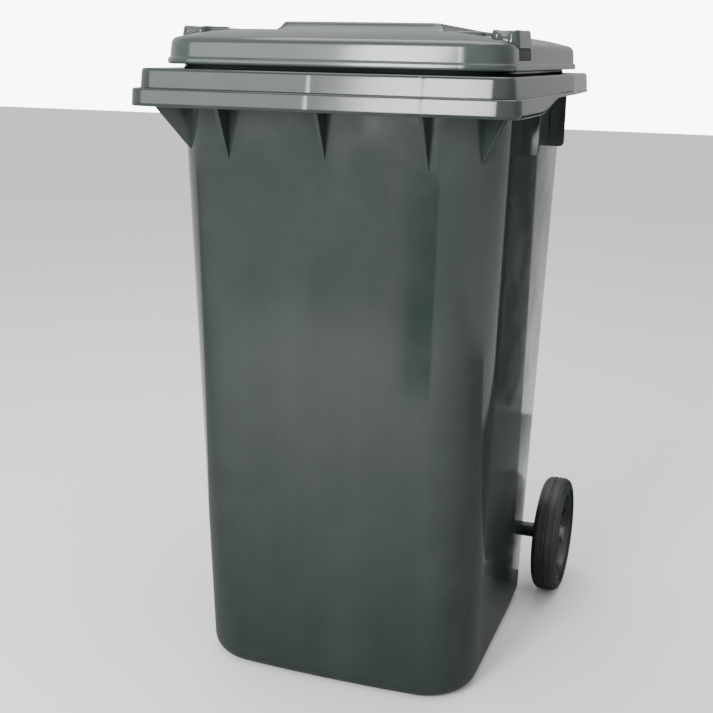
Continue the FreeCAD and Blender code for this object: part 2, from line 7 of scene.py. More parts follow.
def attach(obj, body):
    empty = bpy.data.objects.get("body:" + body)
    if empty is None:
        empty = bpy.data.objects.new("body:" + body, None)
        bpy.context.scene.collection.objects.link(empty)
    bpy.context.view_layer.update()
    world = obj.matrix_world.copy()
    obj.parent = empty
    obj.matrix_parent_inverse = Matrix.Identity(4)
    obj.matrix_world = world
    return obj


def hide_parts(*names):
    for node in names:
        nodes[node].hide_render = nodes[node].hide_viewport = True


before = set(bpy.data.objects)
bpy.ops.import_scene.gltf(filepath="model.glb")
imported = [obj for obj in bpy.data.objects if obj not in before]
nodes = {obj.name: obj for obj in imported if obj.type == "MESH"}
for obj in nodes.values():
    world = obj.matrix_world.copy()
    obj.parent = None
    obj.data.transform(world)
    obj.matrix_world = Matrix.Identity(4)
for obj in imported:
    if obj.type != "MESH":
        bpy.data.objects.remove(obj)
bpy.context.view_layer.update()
print("frame loaded:", len(nodes), "nodes")

# lengths in the dictionaries are millimetres, front is -Y, and a profile row is (height, inset)
mm = 0.001



class Value:
    # a shader socket that takes part in plain arithmetic
    def __init__(self, tree, socket):
        self.tree, self.socket = tree, socket

    def math(self, operation, first, second=None):
        inputs = [first] if second is None else [first, second]
        return self.tree.add("Math", {"operation": operation}, inputs)

    def __add__(self, other): return self.math("ADD", self, other)
    def __radd__(self, other): return self.math("ADD", other, self)
    def __sub__(self, other): return self.math("SUBTRACT", self, other)
    def __rsub__(self, other): return self.math("SUBTRACT", other, self)
    def __mul__(self, other): return self.math("MULTIPLY", self, other)
    def __rmul__(self, other): return self.math("MULTIPLY", other, self)
    def __pow__(self, other): return self.math("POWER", self, other)


class Finish:
    # a material with one shader, and one method that adds any node
    def __init__(self, name):
        self.material = bpy.data.materials.new(name)
        self.material.use_nodes = True
        self.nodes = self.material.node_tree.nodes
        self.links = self.material.node_tree.links
        self.shader = next(n for n in self.nodes if n.type == "BSDF_PRINCIPLED")

    def feed(self, socket, value):
        if isinstance(value, Value):
            self.links.new(value.socket, socket)
        else:
            socket.default_value = value

    def add(self, kind, settings=None, inputs=(), output=0):
        node = self.nodes.new("ShaderNode" + kind)
        for key, value in (settings or {}).items():
            if key == "stops":
                for stop, (place, colour) in zip(self.rampStops(node, len(value)), value):
                    stop.position, stop.color = place, (*colour, 1)
            else:
                setattr(node, key, value)
        pairs = inputs.items() if isinstance(inputs, dict) else enumerate(inputs)
        for key, value in pairs:
            self.feed(node.inputs[key], value)
        return Value(self, node.outputs[output])

    def rampStops(self, node, count):
        while len(node.color_ramp.elements) < count:
            node.color_ramp.elements.new(1)
        return node.color_ramp.elements

    def mixed(self, share, first, second):
        inputs = {0: share, 6: (*first, 1), 7: (*second, 1)}
        return self.add("Mix", {"data_type": "RGBA"}, inputs, output=2)

    def set(self, **sockets):
        for key, value in sockets.items():
            words = "".join(" " + c if c.isupper() else c for c in key).split()
            self.feed(self.shader.inputs[" ".join(w[0].upper() + w[1:] for w in words)], value)


def mouldedPlastic(name, colour, rough, ripple, grain, scuff, specular=0.5):
    # glossy moulded plastic: soft sink waves, a fine pebble, dusty patches and faint flow lines
    f = Finish(name)
    place = f.add("TexCoord", output="Object")
    waves = f.add("TexNoise", inputs={"Vector": place, "Scale": 4.5, "Detail": 1.0, "Roughness": 0.4})
    pebble = f.add("TexNoise", inputs={"Vector": place, "Scale": 850.0, "Detail": 2.0})
    tall = f.add("Mapping", inputs={"Vector": place, "Scale": (14, 14, 1.2)})
    flow = f.add("TexNoise", inputs={"Vector": tall, "Scale": 1.0, "Detail": 4.0})
    dust = f.add("TexNoise", inputs={"Vector": place, "Scale": 11.0, "Detail": 6.0, "Roughness": 0.65})
    patch = f.add("ValToRGB", {"stops": [(0.42, (0, 0, 0)), (0.72, (1, 1, 1))]}, [dust])
    light = tuple(min(1.0, c * 1.35 + 0.012) for c in colour)
    tone = f.mixed((flow - 0.5) * 0.5 + patch * 0.25 + 0.12, colour, light)
    rise = waves * ripple + pebble * grain
    bump = f.add("Bump", inputs={"Height": rise, "Distance": 1.0, "Strength": 1.0})
    f.set(baseColor=tone, roughness=patch * scuff + flow * 0.04 + rough, normal=bump)
    f.shader.inputs["Specular IOR Level"].default_value = specular
    return f.material


def rubber(name, colour, rough):
    # satin rubber with a sandy surface and pale dust
    f = Finish(name)
    place = f.add("TexCoord", output="Object")
    sand = f.add("TexNoise", inputs={"Vector": place, "Scale": 600.0, "Detail": 3.0})
    dust = f.add("TexNoise", inputs={"Vector": place, "Scale": 22.0, "Detail": 5.0})
    pale = tuple(c * 1.9 + 0.006 for c in colour)
    tone = f.mixed(dust ** 3.0 * 2.0, colour, pale)
    bump = f.add("Bump", inputs={"Height": sand * 0.00012, "Distance": 1.0, "Strength": 1.0})
    f.set(baseColor=tone, roughness=dust * 0.15 + rough, normal=bump)
    return f.material


def platedSteel(name, colour, rough):
    # zinc plate: soft mottling and turning marks
    f = Finish(name)
    place = f.add("TexCoord", output="Object")
    mottle = f.add("TexNoise", inputs={"Vector": place, "Scale": 90.0, "Detail": 4.0})
    fine = f.add("TexNoise", inputs={"Vector": place, "Scale": 1400.0, "Detail": 1.0})
    dark = tuple(c * 0.7 for c in colour)
    tone = f.mixed(mottle, colour, dark)
    bump = f.add("Bump", inputs={"Height": fine * 0.00004, "Distance": 1.0, "Strength": 1.0})
    f.set(baseColor=tone, roughness=mottle * 0.2 + rough, normal=bump)
    f.shader.inputs["Metallic"].default_value = 1.0
    return f.material


tubPlastic = mouldedPlastic("tubPlastic", (0.015, 0.0215, 0.020), 0.09, 0.0006, 0.000012, 0.08, 0.50)
lidPlastic = mouldedPlastic("lidPlastic", (0.022, 0.032, 0.0305), 0.12, 0.0004, 0.000014, 0.08, 0.62)
pinPlastic = mouldedPlastic("pinPlastic", (0.022, 0.027, 0.026), 0.32, 0.0, 0.00002, 0.12)
bushPlastic = mouldedPlastic("bushPlastic", (0.45, 0.45, 0.42), 0.35, 0.0, 0.00001, 0.12)
spacerPlastic = mouldedPlastic("spacerPlastic", (0.014, 0.017, 0.016), 0.35, 0.0, 0.00002, 0.10)
hubPlastic = mouldedPlastic("hubPlastic", (0.014, 0.020, 0.017), 0.26, 0.0002, 0.00002, 0.15)
tyreRubber = rubber("tyreRubber", (0.011, 0.015, 0.012), 0.42)
bufferRubber = rubber("bufferRubber", (0.02, 0.02, 0.02), 0.6)
zincSteel = platedSteel("zincSteel", (0.60, 0.61, 0.62), 0.28)
capSteel = platedSteel("capSteel", (0.42, 0.43, 0.44), 0.34)
print("finishes made")


def makePiece(name, points, faces, material, body, replaced, sharp=38, bevel=0.0):
    # points in millimetres go straight into the mesh, and the piece rides on its body
    mesh = bpy.data.meshes.new(name)
    mesh.from_pydata((np.asarray(points, float) * mm).tolist(), [], faces)
    mesh.validate()
    mesh.shade_smooth()
    mesh.set_sharp_from_angle(angle=math.radians(sharp))
    mesh.materials.append(material)
    piece = bpy.data.objects.new(name, mesh)
    bpy.context.scene.collection.objects.link(piece)
    if bevel:
        soften = piece.modifiers.new("softEdges", "BEVEL")
        soften.width, soften.segments, soften.limit_method = bevel * mm, 3, "ANGLE"
        soften.harden_normals = True
    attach(piece, body)
    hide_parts(*replaced)
    return piece


def closedRings(rings, poles=True):
    # rings (v, u, 3) round a shape: quads between neighbours, and a fan onto one point at each end
    rows, around = rings.shape[:2]
    j = np.arange(around)
    k = (j + 1) % around
    first = (np.arange(rows - 1) * around)[:, None]
    quads = np.stack([first + j, first + k, first + around + k, first + around + j], -1).reshape(-1, 4)
    points = rings.reshape(-1, 3)
    if not poles:
        return points, quads.tolist()
    points = np.vstack([points, rings[0].mean(0), rings[-1].mean(0)])
    low, high, last = len(points) - 2, len(points) - 1, (rows - 1) * around
    fans = [[low, b, a] for a, b in zip(j.tolist(), k.tolist())]
    fans += [[high, last + a, last + b] for a, b in zip(j.tolist(), k.tolist())]
    return points, quads.tolist() + fans


def planRings(rows, counts):
    # each row gives a plan outline: bowed front edge, corner arc, side in two straights, rear arc,
    # rear edge. The right half is worked out for all rows at once, and the left half mirrors it
    columns = (rows[:, i:i + 1] for i in range(rows.shape[1]))
    half, front, rear, r, rr, bow, sideHalf, rearHalf, turnY, z, scale = columns
    nFront, nArc, nSide, nRearArc, nRear = counts
    s = np.linspace(0, 1, nFront, endpoint=False)[None]
    a = np.radians(np.linspace(-90, 0, nArc, endpoint=False))[None]
    t = np.linspace(0, 1, nSide, endpoint=False)[None]
    b = np.radians(np.linspace(0, 90, nRearArc, endpoint=False))[None]
    e = np.linspace(0, 1, nRear)[None]
    startY, endY = -front + r, rear - rr
    sideY = startY + (endY - startY) * t
    ahead = np.clip((sideY - startY) / (turnY - startY), 0, 1)
    behind = np.clip((sideY - turnY) / (endY - turnY), 0, 1)
    sideX = half + (sideHalf - half) * ahead + (rearHalf - sideHalf) * behind
    x = np.hstack([s * (half - r), half - r + r * np.cos(a), sideX, rearHalf - rr + rr * np.cos(b),
                   (rearHalf - rr) * (1 - e)])
    y = np.hstack([-front - bow * (1 - s ** 2), -front + r + r * np.sin(a), sideY,
                   rear - rr + rr * np.sin(b), rear + 0 * e])
    x = np.hstack([x, -x[:, -2:0:-1]])
    y = np.hstack([y, y[:, -2:0:-1]])
    middle = (rear - front) / 2
    return np.stack([x * scale, middle + (y - middle) * scale, z + 0 * x], -1)


tub = {
    "height": 980, "wall": 4, "footFillet": 28, "bow": 4, "leastRound": 3,
    "footHalf": 233, "topHalf": 258, "footFront": 268, "topFront": 308, "footRear": 191, "topRear": 234,
    "footRound": 90, "topRound": 92, "footRearRound": 40, "topRearRound": 56,
    "footCrease": 80, "topCrease": -40, "footCreaseInset": 2, "topCreaseInset": 5,
    "wallTop": 976, "wallRows": 54, "innerTop": 970, "innerRows": 26, "filletRows": 10,
    "counts": (64, 16, 54, 8, 18),
    "lip": ((982.4, 0.4), (983.6, 2.2), (985.5, 3), (991, 3.1), (994, 3.3), (995.4, 4), (996, 5),
            (995.4, 6.1), (994, 6.9), (990, 7), (982, 7), (978, 5), (974, 4)),
}
# a rim profile row is (height, inset, share of the upper band's step back)
rim = {
    "half": 290, "front": 362, "rear": 305, "rearHalf": 280, "bow": 4, "round": 30, "rearRound": 14,
    "leastRound": 4, "low": 928, "step": 954, "top": 982, "inset": 9, "fade": 0.5, "sideEnd": 88,
    "wall": 4, "sweepMiddle": -126, "sweepHalf": 78, "sweepRise": 21,
    "kink": 0.55, "kinkWidth": 6, "kinkPlace": 153, "kinkFront": -330,
    "profile": (
        (966, 4, 1), (952, 4, 1), (950, 5, 1), (950, 5, 0.5), (950, 5, 0), (949, 4, 0), (940, 4, 0),
        (930, 4, 0), (928.6, 3.5, 0), (928, 2.6, 0), (928, 1.4, 0), (928.6, 0.5, 0), (929.8, 0, 0),
        (934, 0.2, 0), (939, 0.5, 0), (944, 0.8, 0), (949, 1.1, 0), (951.5, 1.3, 0), (952.9, 1.7, 0.06),
        (953.7, 2.2, 0.2), (954.0, 2.4, 0.5), (954.2, 2.2, 0.8), (954.8, 1.7, 0.95), (956.2, 1.3, 1),
        (961, 1.7, 1), (967, 2.3, 1), (973, 2.9, 1), (977, 3.3, 1), (979.4, 3.9, 1), (981, 5.0, 1),
        (981.8, 6.6, 1), (982, 8.6, 1)),
}


def tubSize(name, z):
    low, high = tub["foot" + name], tub["top" + name]
    return low + (high - low) * max(0.0, z) / tub["height"]


def tubRow(z, inset=0.0, scale=1.0):
    half = tubSize("Half", z) - inset
    corners = [max(tub["leastRound"], tubSize(name, z) - inset) for name in ("Round", "RearRound")]
    return [half, tubSize("Front", z) - inset, tubSize("Rear", z) - inset, *corners, tub["bow"], half,
            half - tubSize("CreaseInset", z), tubSize("Crease", z), z, scale]


def rimRow(z, inset=0.0, upper=0.0):
    back, fade = rim["inset"] * upper + inset, rim["fade"] * upper + inset
    return [rim["half"] - back, rim["front"] - back, rim["rear"] - fade, rim["round"] - inset,
            max(rim["leastRound"], rim["rearRound"] - inset), rim["bow"], rim["half"] - fade,
            rim["rearHalf"] - fade, rim["sideEnd"], z, 1.0]


def blendRow(first, second, share):
    return [p + (q - p) * share for p, q in zip(first, second)]


def smooth(t):
    t = np.clip(t, 0, 1)
    return t * t * (3 - 2 * t)


def buildTubShell():
    # one closed skin: foot, outer wall, under the rim, round its two bands, over the lip, inner wall, floor
    fillet, wall, top = tub["footFillet"], tub["wall"], rim["top"]
    quarter = np.radians(np.linspace(0, 90, tub["filletRows"]))
    rows = [tubRow(0, fillet, share) for share in (0.05, 0.5, 0.97)]
    rows += [tubRow(fillet * (1 - math.cos(a)), fillet * (1 - math.sin(a))) for a in quarter]
    rows += [tubRow(z) for z in np.linspace(fillet, tub["wallTop"], tub["wallRows"])[1:]]
    rows += [tubRow(tub["wallTop"] + 2, -2)]
    rimStart = len(rows)
    under = top - rim["wall"]
    joined = blendRow(tubRow(under, -3), rimRow(under, 6, 1), 0.5)
    rows += [joined, rimRow(under, 6, 1), rimRow(under - 2, 4, 1)]
    rows += [rimRow(*row) for row in rim["profile"]]
    rimEnd = len(rows)
    rows += [blendRow(rimRow(*rim["profile"][-1]), tubRow(top, -6), s) for s in (0.33, 0.66, 0.95)]
    rows += [tubRow(*row) for row in tub["lip"]]
    rows += [tubRow(z, wall) for z in np.linspace(tub["innerTop"], fillet, tub["innerRows"])]
    reach = fillet - wall
    rows += [tubRow(fillet - reach * math.cos(a), fillet - reach * math.sin(a)) for a in quarter[::-1][1:]]
    rows += [tubRow(wall, fillet, 0.6), tubRow(wall, fillet, 0.05)]
    rings = planRings(np.array(rows, float), tub["counts"])
    x, y, z = rings[..., 0], rings[..., 1], rings[..., 2]
    part = np.zeros(len(rows))
    part[rimStart:rimEnd] = 1
    # the lower band's bottom edge sweeps up along the sides
    lift = rim["sweepRise"] * smooth((y - rim["sweepMiddle"]) / (2 * rim["sweepHalf"]) + 0.5)
    share = np.clip((rim["step"] - z) / (rim["step"] - rim["low"]), 0, 1)
    z += part[:, None] * (z < rim["step"]) * lift * share
    # shallow upright kinks over the front webs
    kinks = (-rim["kinkPlace"], 0, rim["kinkPlace"])
    dent = sum(np.exp(-((x - c) / rim["kinkWidth"]) ** 2) for c in kinks)
    y += part[:, None] * (y < rim["kinkFront"]) * rim["kink"] * dent
    points, faces = closedRings(rings)
    return makePiece("tub_shell", points, faces, tubPlastic, "bin", ["body"], 50)


def softPolygon(corners, steps=6):
    # a closed outline whose corners (a, b, round) are arcs tangent to both edges
    out = []
    count = len(corners)
    for i, (a, b, r) in enumerate(corners):
        spot = np.array([a, b], float)
        came = spot - np.array(corners[i - 1][:2], float)
        goes = np.array(corners[(i + 1) % count][:2], float) - spot
        came, goes = came / np.linalg.norm(came), goes / np.linalg.norm(goes)
        if not r:
            out.append(spot)
            continue
        angle = math.acos(max(-1, min(1, float(came @ goes))))
        trim = r * math.tan(angle / 2)
        way = goes - came
        centre = spot + way / np.linalg.norm(way) * math.hypot(r, trim)
        start, end = spot - came * trim - centre, spot + goes * trim - centre
        for t in np.linspace(0, 1, steps):
            arm = start * math.sin((1 - t) * angle) + end * math.sin(t * angle)
            out.append(centre + arm / max(1e-9, math.sin(angle)))
    return np.array(out)


def slabs(name, parts, material, body, replaced, bevel):
    # each part is an outline (n, 2), a function from (a, b, c) to a point, and its two faces' c
    points, faces, base = [], [], 0
    for outline, put, low, high in parts:
        n = len(outline)
        first = np.array([put(a, b, low) for a, b in outline])
        second = np.array([put(a, b, high) for a, b in outline])
        made = [list(range(n))[::-1], list(range(n, 2 * n))]
        made += [[i, (i + 1) % n, n + (i + 1) % n, n + i] for i in range(n)]
        both = np.vstack([first, second])
        fans = [(f[0], f[i], f[i + 1]) for f in made for i in range(1, len(f) - 1)]
        volume = sum(np.dot(both[i], np.cross(both[j], both[k])) for i, j, k in fans)
        if volume < 0:
            made = [f[::-1] for f in made]
        points.append(both)
        faces += [[base + i for i in f] for f in made]
        base += 2 * n
    return makePiece(name, np.vstack(points), faces, material, body, replaced, 30, bevel)


alongX = lambda a, b, c: (c, a, b)
alongY = lambda a, b, c: (a, c, b)


def plate(outline, side, start, width):
    # a part for slabs that stands across X, mirrored by side
    a, b = side * start, side * (start + width)
    return outline, alongX, min(a, b), max(a, b)


web = {"foot": 846, "half": 3.2, "footReach": 36, "rimBack": 10, "round": 14, "bevel": 1.2,
       "cornerFoot": 862, "cornerHalf": 2.5, "cornerIn": 6, "cornerMid": 52, "cornerOut": 64,
       "sideFoot": 866, "sideHalf": 3, "sidePlaces": (-144, 72), "sideRound": 7, "sink": 2}


def buildWebs():
    parts = []
    sink, under = web["sink"], rim["top"] - web["sink"]
    for x in (-rim["kinkPlace"], 0, rim["kinkPlace"]):
        foot = web["foot"]
        outline = softPolygon([(-tubSize("Front", foot) + sink, foot, 0),
                               (-tubSize("Front", under) + sink, under, 0),
                               (-rim["front"] + web["rimBack"], under, 0),
                               (-tubSize("Front", rim["low"]) - web["footReach"], rim["low"], web["round"])])
        parts.append((outline, alongX, x - web["half"], x + web["half"]))
    r, diagonal = tub["topRound"], math.sqrt(0.5)
    inner, outer = r - web["cornerIn"], r + web["cornerOut"]
    corner = np.array([(inner, web["cornerFoot"]), (r + web["cornerMid"], rim["low"] + 2),
                       (outer, rim["step"] + 2), (outer, under), (inner, under)], float)
    wall, half = tubSize("Half", web["sideFoot"]), rim["half"] - rim["inset"] - sink
    for side in (-1, 1):
        cx, cy = side * (tub["topHalf"] - r), r - tub["topFront"]

        def put(a, b, c, cx=cx, cy=cy, side=side):
            return cx + side * diagonal * (a - c), cy - diagonal * (a + c), b

        parts.append((corner, put, -web["cornerHalf"], web["cornerHalf"]))
        outline = softPolygon([(side * (wall - sink), web["sideFoot"], 0),
                               (side * half, web["sideFoot"], web["sideRound"]), (side * half, under, 0),
                               (side * (tub["topHalf"] - 3), under, 0)])
        for y in web["sidePlaces"]:
            parts.append((outline, alongY, y - web["sideHalf"], y + web["sideHalf"]))
    return slabs("rim_webs", parts, tubPlastic, "bin", ["body"], web["bevel"])


hinge = {"y": 349, "z": 996, "ear": 10, "inner": 134, "outer": 205, "earRound": 17, "bevel": 1.5,
         "seatDrop": 30, "grip": 15, "gripSink": 4, "waist": 1.2, "ripple": 0.5, "ripplePitch": 9,
         "gripRows": 60, "gripSteps": 40}


def buildHingeSeat():
    y, z, r = hinge["y"], hinge["z"], hinge["earRound"]
    start, top = rim["rear"] - 4, rim["top"]
    low = top - hinge["seatDrop"]
    corners = [(start, low, 0), (y - 18, low, 20), (y + r, z - r, r * 0.8), (y + r, z + r, r * 0.95),
               (y - r, z + r, r * 0.95), (y - r - 6, top, 8), (start, top, 0)]
    outline = softPolygon(corners, 9)
    places = (hinge["inner"], hinge["outer"])
    parts = [plate(outline, side, place, hinge["ear"]) for side in (-1, 1) for place in places]
    slabs("hinge_ears", parts, tubPlastic, "bin", ["body"], hinge["bevel"])
    # the grip bar: a round bar with a shallow waist and soft shoulders at the ears
    end = hinge["inner"] + hinge["gripSink"]
    x = np.linspace(-end, end, hinge["gripRows"])
    edge = 1 - np.abs(x) / hinge["inner"]
    ripple = hinge["ripple"] * np.cos(x / hinge["ripplePitch"]) ** 2
    radius = hinge["grip"] - hinge["waist"] * smooth(edge * 4) + ripple * smooth(edge * 3)
    turn = np.linspace(0, 2 * math.pi, hinge["gripSteps"], endpoint=False)
    rings = np.stack([x[:, None] + 0 * turn, y + radius[:, None] * np.cos(turn),
                      z + radius[:, None] * np.sin(turn)], -1)
    points, faces = closedRings(rings)
    return makePiece("grip_bar", points, faces, tubPlastic, "bin", ["body"])


axle = {"y": 237, "z": 110, "inner": 140, "outer": 203, "bracket": 12, "bracketRound": 22, "bevel": 1.5,
        "footLow": 60, "footHigh": 190, "webLow": 126, "webHigh": 130, "sink": 3}


def buildAxleSeat():
    y, z, r = axle["y"], axle["z"], axle["bracketRound"]
    low, high = axle["footLow"], axle["footHigh"]
    outline = softPolygon([(tubSize("Rear", low) - axle["sink"], low, 0), (y + r, z - r, r * 0.95),
                           (y + r, z + r, r * 0.95), (tubSize("Rear", high) - axle["sink"], high, 0)], 9)
    start, low, high = tubSize("Rear", z) - axle["sink"], axle["webLow"], axle["webHigh"]
    shelf = np.array([(start, low), (y, low), (y, high), (start, high)], float)
    parts = []
    for side in (-1, 1):
        parts += [plate(outline, side, place, axle["bracket"]) for place in (axle["inner"], axle["outer"])]
        parts.append(plate(shelf, side, axle["inner"] + 2, axle["outer"] - axle["inner"]))
    return slabs("axle_brackets", parts, tubPlastic, "bin", ["body"], axle["bevel"])


buildTubShell()
buildWebs()
buildHingeSeat()
buildAxleSeat()
print("tub built")


lid = {
    "half": 264, "front": 323, "rear": 258, "bow": 8, "round": 64, "rearRound": 25, "leastRound": 3,
    "low": 988, "crown": 1041, "crownInset": 110, "wall": 4, "counts": (60, 18, 120, 7, 20),
    "roundShare": 0.45, "rearRoundShare": 0.18, "underRows": 12, "crownRows": 24,
    "scoopIn": 236, "scoopWall": 4, "scoopFront": -228, "scoopBack": -150, "scoopLow": 1002.5, "scoopEdge": 5,
    "inner": ((1022, 9), (1019, 7.6), (1012, 7), (1006, 7), (1003.4, 7), (1002.8, 7), (1000, 7), (992, 7),
              (989.4, 6.6), (988.3, 5.4), (988, 3.6), (988.2, 1.6)),
    "outer": ((989, 0.4), (990.4, 0), (993, 0), (995.4, 0.1), (996.8, 0.7), (997.6, 1.9), (998.2, 2.9),
              (999.4, 3.2), (1001.2, 3.3), (1002.5, 3.4), (1003.3, 3.45), (1004.6, 3.5), (1007, 3.7),
              (1011, 4.1), (1015, 4.5), (1018, 4.9), (1020.6, 5.5), (1023, 6.6), (1025, 8.4),
              (1026.6, 11), (1027.7, 14.5)),
}


def lidRow(z, inset=0.0, scale=1.0):
    half = lid["half"] - inset
    return [half, lid["front"] - inset, lid["rear"] - inset, lid["round"] - inset * lid["roundShare"],
            max(lid["leastRound"], lid["rearRound"] - inset * lid["rearRoundShare"]), lid["bow"],
            half, half, 0, z, scale]


def buildLidShell():
    # one closed skin: underside, inner skirt, bottom lip, outer skirt, shoulder, crown
    flat = lid["crownInset"]
    underIn, underTop = flat + lid["wall"] - 1, lid["crown"] - lid["wall"]
    rows = [lidRow(underTop, underIn, share) for share in (0.05, 0.4, 0.8)]
    rows += [lidRow(underTop - 12.4 * (1 - t) ** 2, underIn - (flat - 9) * (1 - t))
             for t in np.linspace(1, 0, lid["underRows"])]
    rows += [lidRow(*row) for row in lid["inner"]]
    innerEnd = len(rows)
    rows += [lidRow(*row) for row in lid["outer"]]
    edge, shoulder = lid["outer"][-1]
    rows += [lidRow(edge + (lid["crown"] - edge) * (1 - (1 - t) ** 2), shoulder + (flat - shoulder) * t)
             for t in np.linspace(0, 1, lid["crownRows"])[1:]]
    rows += [lidRow(lid["crown"], flat, share) for share in (0.8, 0.4, 0.05)]
    rings = planRings(np.array(rows, float), lid["counts"])
    x, y, z = rings[..., 0], rings[..., 1], rings[..., 2]
    # a scoop in each side of the skirt for the fingers
    window = smooth((y - lid["scoopFront"]) / lid["scoopEdge"] + 0.5)
    window = window * smooth((lid["scoopBack"] - y) / lid["scoopEdge"] + 0.5)
    inner = (np.arange(len(rows)) < innerEnd)[:, None]
    limit = lid["scoopIn"] - lid["scoopWall"] * inner
    x -= np.sign(x) * np.clip(np.abs(x) - limit, 0, None) * (z > lid["scoopLow"]) * window
    points, faces = closedRings(rings)
    return makePiece("lid_shell", points, faces, lidPlastic, "lid_body", ["lid"], 50)


# the panel's profile heights are counted from its top
panel = {"front": -162, "rear": 95, "half": 125, "rearHalf": 146, "top": 1054, "rearTop": 1045,
         "slope": 13, "foot": -22, "round": 12, "rearRound": 14, "bow": 3, "counts": (40, 8, 40, 8, 40),
         "profile": ((-13.5, -13), (-11.5, -10.5), (-9, -7.5), (-6, -4.8), (-3.6, -3.2), (-1.9, -2),
                     (-0.9, -0.8), (-0.3, 0.8), (0, 3), (0.05, 8), (0.0, 13), (-0.7, 15.5), (-1.2, 18),
                     (-1.2, 40))}


def buildLidPanel():
    # the raised plate on the crown: sloped sides, a soft edge, and a top that falls to the rear
    front, rear, half, rearHalf = (panel[k] for k in ("front", "rear", "half", "rearHalf"))

    def row(z, inset, scale=1.0):
        return [half - inset, -front - inset, rear - inset, panel["round"] - inset * 0.3,
                panel["rearRound"] - inset * 0.3, panel["bow"], (half + rearHalf) / 2 - inset,
                rearHalf - inset, (front + rear) / 2, z, scale]

    rows = [row(panel["foot"], -panel["slope"], share) for share in (0.05, 0.6, 1)]
    rows += [row(*pair) for pair in panel["profile"]]
    rows += [row(*panel["profile"][-1], share) for share in (0.7, 0.35, 0.05)]
    rings = planRings(np.array(rows, float), panel["counts"])
    y = rings[..., 1]
    rings[..., 2] += panel["top"] - (panel["top"] - panel["rearTop"]) * (y - front) / (rear - front)
    points, faces = closedRings(rings)
    return makePiece("lid_panel", points, faces, lidPlastic, "lid_body", ["lid"], 50)


block = {"round": 10, "roundShare": 0.5, "counts": (16, 6, 24, 6, 16), "channelEnd": 34, "channelFade": 26,
         "edge": ((9, -0.4), (4, 0.2), (1.6, 0.9), (0.4, 2.2), (0, 4), (0, 7), (0, 10))}


def softBlock(side, box):
    # a rounded block on the lid, with a channel along it that opens to the front
    top, foot = box["top"], box["foot"]
    midX, midY = (box["in"] + box["out"]) / 2, (box["front"] + box["back"]) / 2
    halfX, halfY = (box["out"] - box["in"]) / 2, (box["back"] - box["front"]) / 2

    def row(z, inset, scale=1.0):
        corner = block["round"] - inset * block["roundShare"]
        return [halfX - inset, halfY - inset, halfY - inset, corner, corner, 0,
                halfX - inset, halfX - inset, 0, z, scale]

    rows = [row(foot, -2, 0.05), row(foot, -2), row((foot + top) / 2, -1.2)]
    rows += [row(top - drop, inset) for drop, inset in block["edge"]]
    rows += [row(top, block["edge"][-1][1], share) for share in (0.8, 0.6, 0.4, 0.2, 0.05)]
    rings = planRings(np.array(rows, float), block["counts"])
    x, y, z = rings[..., 0], rings[..., 1], rings[..., 2]
    ahead = 1 - smooth((y - halfY + block["channelEnd"]) / block["channelFade"])
    z -= box["dish"] * np.exp(-(x / box["dishWidth"]) ** 2) * ahead * smooth((z - foot - 8) / 12)
    x += midX
    y += midY
    x *= side
    return rings[:, ::-1] if side < 0 else rings


lug = {"in": 220, "out": 259, "front": -240, "back": -143, "top": 1045, "foot": 1020,
       "dish": 9, "dishWidth": 10}
pad = {"in": 168, "out": 212, "front": -244, "back": -150, "top": 1041, "foot": 1024,
       "dish": 0, "dishWidth": 10}


def buildLidGrips():
    # over each scoop a raised lug, dished along its length, and a low pad beside it
    for side, word in ((-1, "left"), (1, "right")):
        for name, box in (("grip", lug), ("pad", pad)):
            points, faces = closedRings(softBlock(side, box))
            makePiece(f"lid_{name}_{word}", points, faces, lidPlastic, "lid_body", ["lid"], 50)


arm = {"places": (146.5, 189), "width": 13.5, "round": 15, "sink": 8, "bridge": 158, "bridgeWidth": 33,
       "bevel": 1.2}


def buildLidArms():
    y, z, r = hinge["y"], hinge["z"], arm["round"]
    rear, low = lid["rear"] - arm["sink"], lid["low"]
    outline = softPolygon([(rear, low + 1, 0), (y - 4, z - r, 10), (y + r, z - r, r - 0.5),
                           (y + r, z + r, r - 0.5), (y - 16, z + r, 12), (rear, low + 26, 0)], 9)
    bridge = softPolygon([(rear, low + 3, 0), (y - 10, z - 11, 4), (y - 8, z - 4, 4), (rear, low + 12, 0)])
    parts = []
    for side in (-1, 1):
        parts += [plate(outline, side, place, arm["width"]) for place in arm["places"]]
        parts.append(plate(bridge, side, arm["bridge"], arm["bridgeWidth"]))
    slabs("lid_arms", parts, lidPlastic, "lid_body", ["lid"], arm["bevel"])


buildLidShell()
buildLidPanel()
buildLidGrips()
buildLidArms()
print("lid built")


